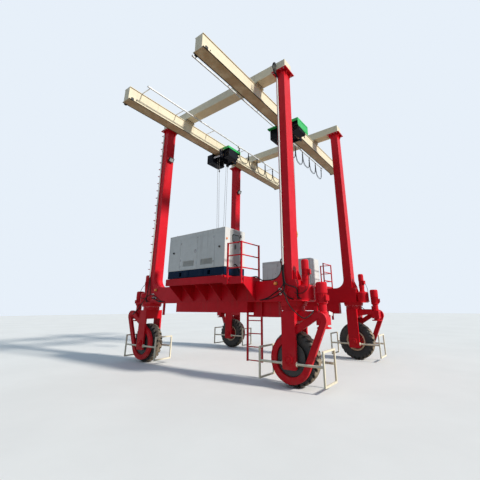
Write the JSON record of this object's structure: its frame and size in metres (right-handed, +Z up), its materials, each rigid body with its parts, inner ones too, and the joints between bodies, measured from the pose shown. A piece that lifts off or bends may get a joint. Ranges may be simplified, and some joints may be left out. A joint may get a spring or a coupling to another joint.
{
  "type": "rubber tyred gantry crane",
  "caption": "Mobile gantry crane on steered rubber tyred bogies, with twin runway beams, travelling hoists and a generator set on the sill.",
  "frame": {"origin": "on the ground, midway between the four legs", "axes": "+X along the sill beams towards the access ladder's leg, +Y along the runway beams from the generator side to the far side, +Z up"},
  "size_m": [7.8398, 9.94, 9.49],
  "materials": {
    "red_paint": "gloss",
    "cream_paint": "satin",
    "rail_metal": "satin",
    "navy_paint": "satin",
    "white_paint": "satin",
    "black_plastic": "satin",
    "amber_plastic": "satin",
    "pipe_plastic": "satin",
    "bare_steel": "matte",
    "dark_steel": "satin",
    "green_paint": "satin",
    "yellow_paint": "satin",
    "rope_steel": "matte",
    "cable_rubber": "matte",
    "tyre_rubber": "matte"
  },
  "bodies": {
    "frame": {"near_sill": "red_paint", "far_sill": "red_paint", "near_legs": "red_paint", "far_legs": "red_paint", "cross_beams": "cream_paint", "runway_beam_1": "cream_paint", "runway_beam_2": "cream_paint", "festoon_rails": "rail_metal", "platforms": "red_paint", "generator_base": "navy_paint", "generator_canopy": "white_paint", "far_cabinet": "white_paint", "near_handrail": "red_paint", "far_handrail": "red_paint", "access_ladder": "red_paint", "leg_rungs": "red_paint", "lamps": "black_plastic", "beacons": "amber_plastic", "conduits": "pipe_plastic", "steering_gearmotors": "red_paint", "slewing_rings": "red_paint", "lower_boxes": "red_paint", "frame_cables": "cable_rubber", "festoon_cables": "cable_rubber", "motor_cables": "cable_rubber"},
    "bogie_a": {"fork_a": "red_paint", "drive_a": "red_paint", "bumpers_a": "cream_paint"},
    "wheel_a": {"tyre_a": "tyre_rubber", "rim_a": "red_paint"},
    "bogie_b": {"fork_b": "red_paint", "drive_b": "red_paint", "bumpers_b": "cream_paint"},
    "wheel_b": {"tyre_b": "tyre_rubber", "rim_b": "red_paint"},
    "bogie_c": {"fork_c": "red_paint", "drive_c": "red_paint", "bumpers_c": "cream_paint"},
    "wheel_c": {"tyre_c": "tyre_rubber", "rim_c": "red_paint"},
    "bogie_d": {"fork_d": "red_paint", "drive_d": "red_paint", "bumpers_d": "cream_paint"},
    "wheel_d": {"tyre_d": "tyre_rubber", "rim_d": "red_paint"},
    "trolley_1": {"hoist_1": "dark_steel", "machinery_1": "dark_steel", "hood_1": "green_paint", "ropes_1": "rope_steel"},
    "hook_block_1": {"hook_1": "yellow_paint"},
    "trolley_2": {"hoist_2": "dark_steel", "machinery_2": "dark_steel", "hood_2": "green_paint", "ropes_2": "rope_steel"},
    "hook_block_2": {"hook_2": "yellow_paint"}
  },
  "joints": [
    {"name": "steer_a", "type": "hinge", "parent": "frame", "child": "bogie_a", "pos_m": [2.95, -2.3, 1.8], "axis": [0, 0, 1], "range_deg": [-90, 90], "deforming": ["motor_cables"]},
    {"name": "wheel_spin_a", "type": "hinge", "parent": "bogie_a", "child": "wheel_a", "pos_m": [2.95, -2.3, 0.62], "axis": [0, 1, 0], "continuous": true},
    {"name": "steer_b", "type": "hinge", "parent": "frame", "child": "bogie_b", "pos_m": [-2.95, -2.3, 1.8], "axis": [0, 0, 1], "range_deg": [-90, 90], "deforming": ["motor_cables"]},
    {"name": "wheel_spin_b", "type": "hinge", "parent": "bogie_b", "child": "wheel_b", "pos_m": [-2.95, -2.3, 0.62], "axis": [0, 1, 0], "continuous": true},
    {"name": "steer_c", "type": "hinge", "parent": "frame", "child": "bogie_c", "pos_m": [-2.95, 2.3, 1.8], "axis": [0, 0, 1], "range_deg": [-90, 90], "deforming": ["motor_cables"]},
    {"name": "wheel_spin_c", "type": "hinge", "parent": "bogie_c", "child": "wheel_c", "pos_m": [-2.95, 2.3, 0.62], "axis": [0, 1, 0], "continuous": true},
    {"name": "steer_d", "type": "hinge", "parent": "frame", "child": "bogie_d", "pos_m": [2.95, 2.3, 1.8], "axis": [0, 0, 1], "range_deg": [-90, 90], "deforming": ["motor_cables"]},
    {"name": "wheel_spin_d", "type": "hinge", "parent": "bogie_d", "child": "wheel_d", "pos_m": [2.95, 2.3, 0.62], "axis": [0, 1, 0], "continuous": true},
    {"name": "hoist_travel_1", "type": "slide", "parent": "frame", "child": "trolley_1", "axis": [0, 1, 0], "range_m": [-3.9, 3.9], "deforming": ["festoon_cables"]},
    {"name": "hook_lift_1", "type": "slide", "parent": "trolley_1", "child": "hook_block_1", "axis": [0, 0, 1], "range_m": [-3.2, 3.6], "deforming": ["ropes_1"]},
    {"name": "hoist_travel_2", "type": "slide", "parent": "frame", "child": "trolley_2", "axis": [0, 1, 0], "range_m": [-3.9, 3.9], "deforming": ["festoon_cables"]},
    {"name": "hook_lift_2", "type": "slide", "parent": "trolley_2", "child": "hook_block_2", "axis": [0, 0, 1], "range_m": [-3.2, 3.6], "deforming": ["ropes_2"]}
  ]
}
